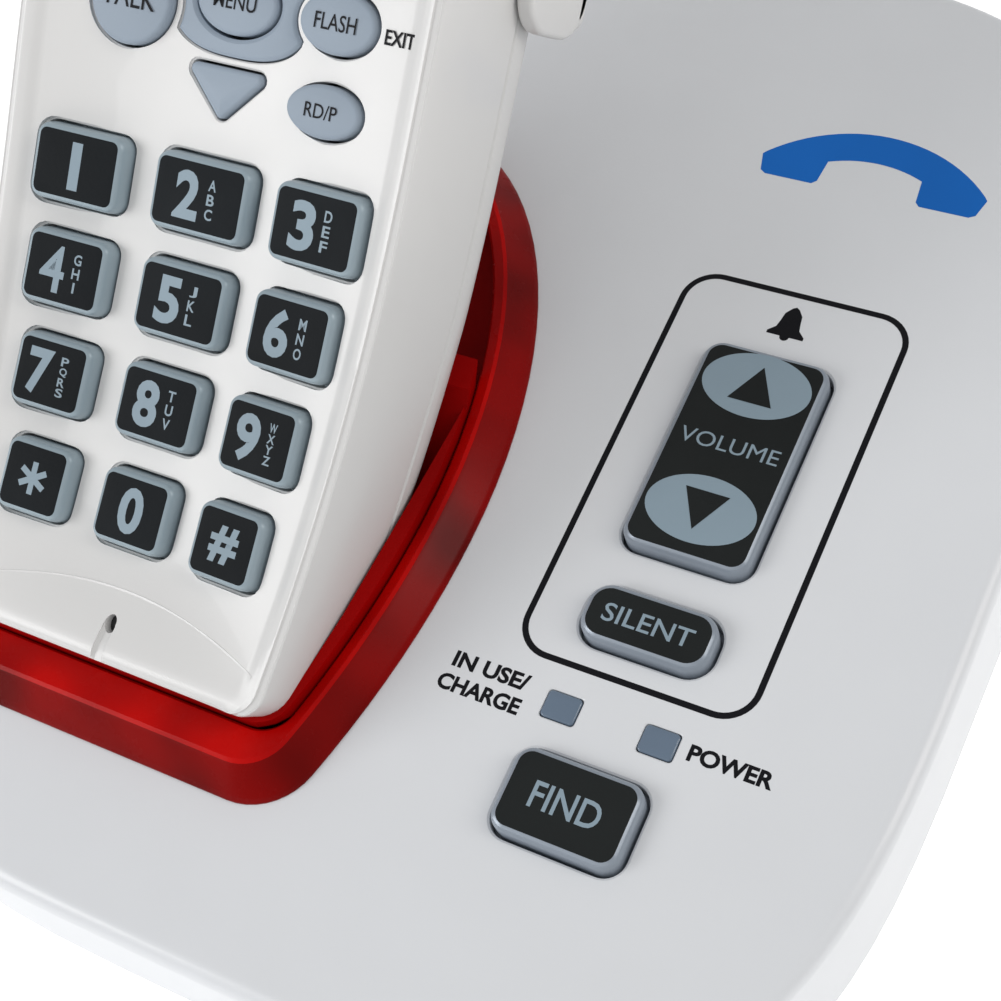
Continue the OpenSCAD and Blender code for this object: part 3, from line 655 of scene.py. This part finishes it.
def deck_print():
    """Everything printed on the deck, as thin ink."""
    w, h, r, line = 30.4, 58.2, 4.3, 0.8
    frame_line = flat_band(rounded(w + line, h + line, r + line / 2, 10),
                           rounded(w - line, h - line, r - line / 2, 10), DECK)
    black = [frame_line, flat_print(bell(0.86), DECK @ Matrix.Translation((0, 24.6, 0)))]
    labels = (("IN USE/", -11.2, -33.2, "RIGHT", 10.3), ("CHARGE", -11.0, -36.4, "RIGHT", 11.2),
              ("POWER", 10.2, -34.4, "LEFT", 10.5))
    for text, x, y, align, w in labels:
        place = DECK @ Matrix.Translation((x, y, 0))
        black.append(lettering(text, 2.15, place, bold=0.035, width=w, align=align))
    piece("deck_legends", black, [PRINT_BLACK], "base")
    picture = flat_print(pictogram(), DECK @ Matrix.Translation((2, 52.5, 0)))
    piece("deck_pictogram", [picture], [PRINT_BLUE], "base")


def control(name, pts, y, legends, skirt=(-3.6, -2.7)):
    """A key on the deck: silver body, black printed top, eased edges, a skirt under the deck."""
    rise = 2.0
    place = DECK @ Matrix.Translation((0, y, 0))
    levels = [(0, -4), (0.05, rise - 0.9), (0.16, rise - 0.45), (0.4, rise - 0.15),
              (0.75, rise), (0.8, rise + 0.05), (1.6, rise + 0.05)]
    part = stacked(pts, levels, band_mats=[0, 0, 0, 0, 1, 1], cap_mats=(0, 1))
    flange = placed(stacked(inset(pts, -1), [(0, z) for z in skirt]), place, 0)
    piece(name + "_cap", [placed(part, place), flange] + legends(place, rise + 0.07),
          [KEY_EDGE, CONTROL_BLACK, LEGEND], name, [name])


def rocker_legends(place, z):
    parts = []
    ovals = ((10.1, 1), (-8.6, -1))
    for y, way in ovals:
        spot = place @ Matrix.Translation((0, y, z))
        parts.append(flat_print(oval(14.4, 9.4, 64), spot, 0.0, 2))
        tip = [(0, 2.85 * way), (-2.95 * way, -2.6 * way), (2.95 * way, -2.6 * way)]
        parts.append(flat_print(tip, spot, 0.03, 1))
    spot = place @ Matrix.Translation((0, 0.95, z))
    parts.append(lettering("VOLUME", 2.15, spot, width=13.2, depth=0, mat=2))
    return parts


def word(text, height, width, bold):
    def legends(place, z):
        spot = place @ Matrix.Translation((0, 0, z))
        return [lettering(text, height, spot, bold=bold, width=width, depth=0, mat=2)]
    return legends


def make_controls():
    control("volume_rocker", ROCKER, ROCKER_Y, rocker_legends, (-3.85, -3.3))
    control("silent_key", SILENT, SILENT_Y, word("SILENT", 2.45, 11.7, 0.008))
    control("find_key", FIND, FIND_Y, word("FIND", 3.3, 8.8, 0.012))


# ---- the handset ----
def front_section(s):
    """The front shell's section at s, from its left seam over the face to its right seam."""
    chin, ear = 1.0, 3.0
    at_chin, at_ear = max(0, chin - s), max(0, s - HANDSET_LEN + ear)
    drop = chin - sqrt(max(0, chin ** 2 - at_chin ** 2)) + ear - sqrt(max(0, ear ** 2 - at_ear ** 2))
    w = half_width(s)
    span = w - RIM
    across = [(span - 2.6) * k / 13 for k in range(14)] + [span - 2.6 + 2.6 * k / 7 for k in range(1, 7)]
    half = [(x, drop - face_height(s, x)) for x in across]
    half += [(span + 0.08, drop - 0.16), (span + 0.26, drop - 0.16), (span + 0.36, drop + 0.08),
             (w - 0.42, drop + 0.2), (w - 0.3, drop + 0.12), (w - 0.1, drop + 0.24), (w, drop + 0.6)]
    p = parting(s)
    half += [(w + 0.12, (drop + p) / 2), (w + 0.05, p - 0.5), (w - 0.15, p - 0.12)]
    return [(-x, d) for x, d in half[:0:-1]] + half


def rear_section(s):
    """The rear shell's section at s, from its right seam round the back to its left seam."""
    w = half_width(s)
    p, t = parting(s), thick(s)
    end = max(0, 2 - s, s - HANDSET_LEN + 4)
    t -= min(4, end ** 2 * 0.35)
    half = [(w - 0.35, p + 0.1), (w - 0.05, p + 0.45), (w - 0.02, p + 1.6)]
    curve = [radians(90 * k / 8) for k in range(1, 9)]
    half += [(w - 9 + 9 * cos(a) - 0.02, p + 1.6 + (t - p - 1.6) * sin(a)) for a in curve]
    half.append((0.5 * (w - 9), t))
    return half + [(0, t)] + [(-x, d) for x, d in half[::-1]]


def stations():
    """Places along the handset for its sections: every 2 mm, and closer towards both ends."""
    start, step, stop = 7, 2, HANDSET_LEN - 22
    chin = [0.0, 0.12, 0.45, 0.9, 1.6, 2.4, 3.3, 4.2, 5.0]
    middle = [start + step * k for k in range(int((stop - start) / step) + 1)]
    ear = [20, 17, 14, 11.5, 9, 7, 5.2, 3.6, 2.4, 1.4, 0.7, 0.25, 0]
    return chin + middle + [HANDSET_LEN - e for e in ear]


def sweep(section, marks):
    loops = []
    for s in marks:
        loops.append([MM @ Vector((CRADLE_X + x, *below(s, d))) for x, d in section(s)])
    return skin(loops)


def hollow(first, last, depth_top, depth_low, side):
    """A closed core used to hollow a shell: between two depths, side in from its outline."""
    n = 40
    marks = [first + (last - first) * k / n for k in range(n + 1)]

    def section(s):
        w = half_width(max(6, min(HANDSET_LEN, s + side))) - side
        return [(-w, depth_low(s)), (-w, depth_top(s)), (w, depth_top(s)), (w, depth_low(s))]
    return sweep(section, marks)


DIGIT_KEYS = [("key_star", "key_0", "key_hash"), ("key_7", "key_8", "key_9"),
              ("key_4", "key_5", "key_6"), ("key_1", "key_2", "key_3")]
FACE_KEYS = {
    "talk_key": (-14.3, 79.4, oval(11.3, 11.3), 1.3), "off_key": (20, 91.4, oval(10.6, 9.6), 1.3),
    "menu_key": (0.2, 81.3, oval(11.4, 7.8), 1.1),
    "up_key": (0.1, 92.2, arrow(11.3, 6.6, 0.8, True), 0.9),
    "down_key": (0.1, 70.3, arrow(11.3, 6.6, 0.8, False), 0.9),
    "flash_key": (15.1, 81.2, oval(10.8, 7.2), 1.3),
    "redial_key": (15.1, 71.1, oval(10.6, 6.2), 1.3)}


def first_hit(angle, cx, cy, a, b):
    """Distance along a ray from the origin to an ellipse, or a long way if it misses."""
    ux, uy, vx, vy = cos(angle) / a, sin(angle) / b, cx / a, cy / b
    uu, uv = ux * ux + uy * uy, ux * vx + uy * vy
    inside = uv * uv - uu * (vx * vx + vy * vy - 1)
    return (uv - sqrt(inside)) / uu if inside > 0 and uv > 0 else 99


NAV_POINTS = 120


def nav_outline(grow):
    """The plate round the menu key, cut back to clear the talk and flash keys."""
    pts = []
    for k in range(NAV_POINTS):
        a = 2 * pi * k / NAV_POINTS
        r = (abs(cos(a) / (9.9 + grow)) ** 2.6 + abs(sin(a) / (6.5 + grow)) ** 2.6) ** (-1 / 2.6)
        for name in ("talk_key", "flash_key"):
            x, s, key, _ = FACE_KEYS[name]
            web = 1.2 - grow
            r = min(r, first_hit(a, x - NAV_X, s - NAV_S, key[0][0] + web, key[len(key) // 4][1] + web))
        pts.append((r * cos(a), r * sin(a)))
    return pts


def polar_oval(a, b, cx):
    """An oval whose points lie on the same rays as the plate's, to be joined to it."""
    pts = []
    for k in range(NAV_POINTS):
        t = 2 * pi * k / NAV_POINTS
        r = 1 / hypot(cos(t) / a, sin(t) / b)
        pts.append((cx + r * cos(t), r * sin(t)))
    return pts


def key_place(x, s):
    return on_face(x, s, -face_height(s, x), face_roll(s, x))


def key_width(row, col):
    return ROW_KEY_W[row] * (OUTER_KEY_SCALE if col else 1)


def face_cutters():
    cuts = []
    for row, names in enumerate(DIGIT_KEYS):
        for col in (-1, 0, 1):
            pts = rounded(key_width(row, col), KEY_H, 1.7, 5)
            cuts.append(lipped_hole(pts, key_place(col * ROW_DX[row], ROW_S[row]), 7, 0.3, 0.32))
    for name, (x, s, pts, _) in FACE_KEYS.items():
        if name != "menu_key":
            cuts.append(lipped_hole(pts, key_place(x, s), 7, 0.25, 0.3))
    cuts.append(lipped_hole(nav_outline(0), key_place(NAV_X, NAV_S), 7, 0.2, 0.05))
    cuts.append(lipped_hole(rounded(*LCD_RECESS), on_face(0, LCD_S, DISH), 1.2, 0.3, 0))
    cuts.append(lipped_hole(rounded(*EAR_RECESS), on_face(0, EAR_S, DISH), 1.2, 0.3, 0))
    return cuts


def deeper_cutters():
    """Cuts that start inside others, so they're made after them, and the microphone's."""
    cuts = [placed(stacked(rounded(*LCD_OPENING), [(0, -8), (0, -0.6)]), on_face(0, LCD_S, DISH)),
            placed(stacked(rounded(*EAR_OPENING), [(0, -8), (0, -0.6)]), on_face(0, EAR_S, DISH)),
            placed(stacked(oval(1.7, 2.4, 24), [(0, -8), (0, 3)]), on_face(MIC_X, MIC_S))]
    across = Matrix.Rotation(radians(90), 4, "Y")
    cuts.append(placed(stacked(oval(5.6, 5.6, 32), [(0, -6), (0, 6)]),
                       on_face(-HANDSET_HALF_W, JACK_S, JACK_D) @ across))
    return cuts


def face_strip(section, spots):
    """A closed strip laid on the face: section is (offset along s, height) pairs at each spot."""
    loops = []
    for x, s in spots:
        loops.append([on_face(x, s + ds, -face_height(s, x) - h).translation for ds, h in section])
    return skin(loops)


def mic_groove():
    """A shallow channel from the microphone's hole down over the chin edge."""
    section = [(-0.95, -2), (-0.9, 0.3), (-0.5, 0.55), (0.5, 0.55), (0.9, 0.3), (0.95, -2)]
    loops = []
    for s in (-1.2, 0, 1, 2, 3, 4, MIC_S - 0.1):
        face = -face_height(s, MIC_X)
        loops.append([on_face(MIC_X + x, s, face + d).translation for x, d in section])
    return skin(loops)


def chin_crease():
    """The faint curved step between the chin and the dished part of the face."""
    spots = [(x, 9.1 - 0.0087 * (x - 2.1) ** 2) for x in [-24.5 + k for k in range(49)]]
    section = [(-0.5, -0.12), (-0.15, 0.05), (0.1, 0.05), (0.3, -0.12)]
    piece("chin_crease", [face_strip(section, spots)], [WARM_WHITE], "handset")


def make_shells():
    marks = stations()
    front = piece("handset_front", [sweep(front_section, marks)], [WARM_WHITE], "handset",
                  ["handset_front_shell"])
    weld(front)
    carve(front, [hollow(2.2, HANDSET_LEN - 2.2, lambda s: WALL + dish(s), lambda s: parting(s) + 2, WALL)])
    carve(front, face_cutters())
    carve(front, deeper_cutters())
    carve(front, [mic_groove()], SHARP_FINE)
    chin_crease()
    mesh = soft_block(oval(2.6, 2.6, 32), -0.4, 0, 0.1)
    piece("microphone_mesh", [placed(mesh, on_face(MIC_X, MIC_S, 2.6))], [BLACK], "handset")
    rear = piece("handset_rear", [sweep(rear_section, marks)], [WARM_WHITE], "handset",
                 ["handset_rear_shell"])
    weld(rear)
    carve(rear, [hollow(2.2, 94, lambda s: parting(s) - 2, lambda s: thick(s) - 2.2, 6),
                 hollow(143.5, HANDSET_LEN - 4, lambda s: parting(s) - 2, lambda s: thick(s) - 4, 6)])
    carve(rear, rear_cutters())


def rear_cutters():
    mid = DOOR_S0 + DOOR_H / 2
    recess = stacked(rounded(DOOR_W + 0.8, DOOR_H + 1.2, 2), [(0, 0), (0, 4)])
    cuts = [placed(recess, on_face(0, mid - 0.2, HANDSET_T + 2))]
    for x in (-24.6, 24.6):
        cuts.append(placed(stacked(oval(4, 4, 24), [(0, 0), (0, 3.2)]), on_face(x, 104, HANDSET_T + 0.8)))
    for x in (-9, 9):
        cuts.append(placed(stacked(oval(4.8, 4.8, 24), [(0, 0), (0, 5)]), on_face(x, 11, thick(11) + 1)))
    return cuts


def make_battery_bay():
    """The door on the back of the handset, with a thumb grip and finger ribs."""
    mid = DOOR_S0 + DOOR_H / 2
    flip = Matrix.Rotation(pi, 4, "Y")
    place = on_face(0, mid, HANDSET_T - DOOR_T) @ flip
    door = placed(soft_block(rounded(DOOR_W, DOOR_H, 1.6, 6), 0, DOOR_T, 0.35, 0.15), place)
    ribs = [placed(soft_block(rounded(12 - 1.6 * k, 0.8, 0.39, 4), DOOR_T - 0.2, DOOR_T + 0.25, 0.15),
                   place @ Matrix.Translation((0, 15.5 + 1.6 * k, 0))) for k in range(3)]
    pins = placed(stacked(oval(1.6, 1.6, 24), [(0, -19.5), (0, 19.5)]),
                  place @ Matrix.Translation((0, PIVOT_IN - DOOR_H / 2, 1)) @
                  Matrix.Rotation(radians(90), 4, "Y"))
    piece("battery_cover", [door, pins] + ribs, [WARM_WHITE], "battery_door",
          ["battery_door"])


def digit_legend(name):
    letters = {"2": "ABC", "3": "DEF", "4": "GHI", "5": "JKL", "6": "MNO", "7": "PQRS",
               "8": "TUV", "9": "WXYZ"}
    sign = {"key_star": "*", "key_hash": "#"}.get(name, name[-1])
    return sign, letters.get(sign, "")


def asterisk(r, w):
    pts = []
    for k in range(6):
        a = radians(90 + 60 * k)
        tip, side = (r * cos(a), r * sin(a)), (w / 2 * sin(a), -w / 2 * cos(a))
        pts += [(tip[0] + side[0], tip[1] + side[1]), (tip[0] - side[0], tip[1] - side[1]),
                (w * cos(a + pi / 6), w * sin(a + pi / 6))]
    return pts


def digit_key(name, x, s, w):
    place = key_place(x, s)
    pts = rounded(w, KEY_H, 1.7, 6)
    levels = [(0, -3.55), (0.0, 0.2), (0.12, KEY_RISE - 0.75), (0.26, KEY_RISE - 0.35),
              (0.52, KEY_RISE - 0.1), (0.78, KEY_RISE), (0.84, KEY_RISE + 0.05), (1.6, KEY_RISE + 0.08)]
    cap = placed(stacked(pts, levels, band_mats=[0, 0, 0, 0, 0, 1, 1], cap_mats=(0, 1)), place)
    skirt = placed(stacked(inset(pts, -0.8), [(0, -3.45), (0, -2.85)]), place, 0)
    sign, letters = digit_legend(name)
    z = KEY_RISE + 0.1
    shift = -1.5 if letters else 0
    spot = place @ Matrix.Translation((shift, 0, z))
    tall = {"#": 4.6}.get(sign, 5.9)
    wide = {"1": 1.5, "#": 4.2}.get(sign, 3.6)
    glyph = flat_print(asterisk(2.1, 0.8), spot, 0.0, 2)
    if sign != "*":
        glyph = lettering(sign, tall, spot, bold=0.012 if sign == "4" else 0.035, width=wide, depth=0, mat=2)
    parts = [cap, skirt, glyph]
    pitch = 1.32 if len(letters) == 4 else 1.75
    for k, letter in enumerate(letters):
        y = pitch * ((len(letters) - 1) / 2 - k)
        spot = place @ Matrix.Translation((1.95, y, z))
        size = 1.12 if len(letters) == 4 else 1.35
        wide = 0.3 if letter == "I" else 1.1
        parts.append(lettering(letter, size, spot, bold=0.02, width=wide, depth=0, mat=2))
    piece(name + "_cap", parts, [KEY_GREY, KEY_BLACK, LEGEND], name, [name])


def face_key(name, x, s, pts, rise):
    """An oval or arrow key with a softly domed top."""
    place = key_place(x, s)
    loops = [at_height(inset(pts, i), z) for i, z in [(0, -4)] + soft_edge(0.6, rise - 0.25, 5)]
    crown = inset(pts, 0.6)
    loops += [at_height(scaled(crown, k), rise - 0.25 + 0.25 * (1 - k * k)) for k in (0.85, 0.6, 0.3)]
    parts = [placed(skin(loops), place)]
    words = {"talk_key": ("TALK", 2.5, 7.6), "menu_key": ("MENU", 1.9, 6.0),
             "flash_key": ("FLASH", 1.9, 5.9), "redial_key": ("RD/P", 1.7, 4.6),
             "off_key": ("OFF", 2.1, 5.0)}
    if name in words:
        text, tall, wide = words[name]
        spot = place @ Matrix.Translation((0, 0, rise + 0.02))
        parts.append(lettering(text, tall, spot, bold=0.004, width=wide, depth=0, mat=1))
    piece(name + "_cap", parts, [PEARL, PRINT_BLACK], name, [name])


def make_keys():
    for row, names in enumerate(DIGIT_KEYS):
        for col, name in zip((-1, 0, 1), names):
            digit_key(name, col * ROW_DX[row], ROW_S[row], key_width(row, col))
    for name, (x, s, pts, rise) in FACE_KEYS.items():
        face_key(name, x, s, pts, rise)
    menu_surround()
    exit_spot = (24, 80.8)
    x, s = exit_spot
    spot = on_face(x, s, -face_height(s, x), 2 * face_roll(s, x))
    piece("face_legend", [lettering("EXIT", 1.7, spot, bold=0.02, width=4.6, depth=0.12)],
          [PRINT_BLACK], "handset")


def menu_surround():
    """The pearl plate round the menu key, with a sloping well for the key."""
    rim = nav_outline(-0.1)
    well = polar_oval(6.1, 4.3, -0.4)
    brim = polar_oval(6.6, 4.8, -0.4)
    levels = [at_height(rim, -2), at_height(rim, 0.2), at_height(inset(rim, 0.25), 0.42),
              at_height(inset(rim, 0.5), 0.5), at_height(brim, 0.5), at_height(well, 0.2),
              at_height(well, -2)]
    levels.append(levels[0])
    surround = piece("menu_surround", [placed(skin(levels, caps=(False, False)), key_place(NAV_X, NAV_S))],
                     [PEARL], "handset", ["nav_plate"])
    weld(surround)


def make_belt_clip():
    """Two arms over the sides, a bridge across the back and a sprung tongue."""
    arm_x, arm_d, half_t = HANDSET_HALF_W + 0.3, 24, 1.2
    side = Matrix.Rotation(radians(90), 4, "Y")
    parts = []
    for m in (-1, 1):
        place = on_face(m * (arm_x + half_t), CLIP_S, arm_d) @ side
        parts.append(placed(soft_block(rounded(16, 14, 5.5, 8), -half_t, half_t, 0.7), place))
    bridge = on_face(0, CLIP_S - 1, HANDSET_T + 1.8)
    parts.append(placed(soft_block(rounded(2 * arm_x + 4.8, 9, 1.5, 5), -1, 1, 0.5), bridge))
    tongue = on_face(0, CLIP_S - 18, HANDSET_T + 5.6)
    parts.append(placed(soft_block(rounded(18, 40, 5, 8), -1, 1, 0.5), tongue))
    post = on_face(0, CLIP_S - 2, HANDSET_T + 3.5)
    parts.append(placed(soft_block(rounded(18, 8, 1.5, 4), -1.6, 1.6, 0.2), post))
    piece("belt_clip_body", parts, [WARM_WHITE], "handset", ["belt_clip"])


def make_feet():
    """Four pads, set in by their own radius from the far corner of the box round the CAD's feet."""
    foot = [(0.5, 0), (0, 0.5), (0, 1.1), (0.25, 1.5)]
    r = 6
    _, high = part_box("rubber_feet")
    x, y = high.x * 1000 - r, high.y * 1000 - r
    parts = [placed(stacked(oval(2 * r, 2 * r, 40), foot), MM @ Matrix.Translation((a * x, b * y, 0)))
             for a in (-1, 1) for b in (-1, 1)]
    piece("feet_pads", parts, [RUBBER], "base", ["rubber_feet"])


# ---- carried-over CAD nodes ----
CARRIED = {
    "base_bottom_shell": WHITE, "cradle_tray": TRAY_RED, "base_board": BOARD,
    "ringer_light_board": BOARD, "base_speaker": BLACK, "status_leds": LAMP,
    "base_key_mat": SILICONE, "dc_inlet": BLACK, "line_jack": BLACK, "base_screws": STEEL,
    "earpiece_grille": GRILLE, "lcd_window": CLEAR, "lcd_module": LCD_GREEN,
    "earpiece_speaker": BLACK, "microphone": STEEL, "handset_board": BOARD,
    "keypad_mat": SILICONE, "battery_pack": CELL_WRAP, "headset_jack": BLACK,
    "charge_pads": GOLD, "handset_screws": STEEL, "left_charge_contact": GOLD,
    "right_charge_contact": GOLD}


def finish_carried():
    for name, mat in CARRIED.items():
        mesh = frame["nodes"][name].data
        mesh.materials.clear()
        mesh.materials.append(mat)


# ---- the scene ----
def make_stage():
    mesh = bpy.data.meshes.new("floor")
    reach = 3.0
    mesh.from_pydata([(-reach, -reach, 0), (reach, -reach, 0), (reach, reach, 0), (-reach, reach, 0)],
                     [], [(0, 1, 2, 3)])
    ground = bpy.data.objects.new("floor", mesh)
    mesh.materials.append(material("pale_floor", (0.9, 0.9, 0.9), 0.7, Emission_Color=(1, 1, 1, 1),
                                   Emission_Strength=0.42))
    bpy.context.scene.collection.objects.link(ground)
    world = bpy.data.worlds.new("studio")
    world.use_nodes = True
    world.node_tree.nodes["Background"].inputs["Color"].default_value = (0.97, 0.98, 1.0, 1)
    world.node_tree.nodes["Background"].inputs["Strength"].default_value = 0.52
    bpy.context.scene.world = world
    bpy.context.scene.view_settings.view_transform = "Standard"


def softbox(name, place, aim, size, power, color=(1, 1, 1)):
    light = bpy.data.lights.new(name, "AREA")
    light.shape = "RECTANGLE"
    light.size, light.size_y = size
    light.energy = power
    light.color = color
    lamp = bpy.data.objects.new(name, light)
    lamp.location = place
    lamp.rotation_euler = (Vector(aim) - Vector(place)).to_track_quat("-Z", "Y").to_euler()
    bpy.context.scene.collection.objects.link(lamp)


def make_lights():
    middle = (0, 0, 0.04)
    softbox("key_light", (-0.6, -0.5, 0.46), middle, (0.5, 0.4), 3.5)
    softbox("fill_light", (0.1, -0.8, 0.8), middle, (0.9, 0.6), 0.9, (1.0, 0.985, 0.96))
    softbox("edge_light", (0.75, 0.2, 0.6), middle, (0.3, 0.6), 2.6, (1.0, 0.965, 0.92))


def make_camera():
    camera = bpy.data.cameras.new("camera")
    camera.lens = CAMERA_LENS
    camera.sensor_width = 36
    camera.clip_start, camera.clip_end = 0.01, 20
    obj = bpy.data.objects.new("camera", camera)
    obj.location = CAMERA_PLACE
    obj.rotation_euler = Euler([radians(a) for a in CAMERA_TURN], "XYZ")
    bpy.context.scene.collection.objects.link(obj)
    bpy.context.scene.camera = obj


make_camera()
make_stage()
make_lights()
make_base()
make_controls()
make_shells()
make_keys()
make_battery_bay()
make_belt_clip()
make_feet()
finish_carried()

bpy.context.view_layer.update()
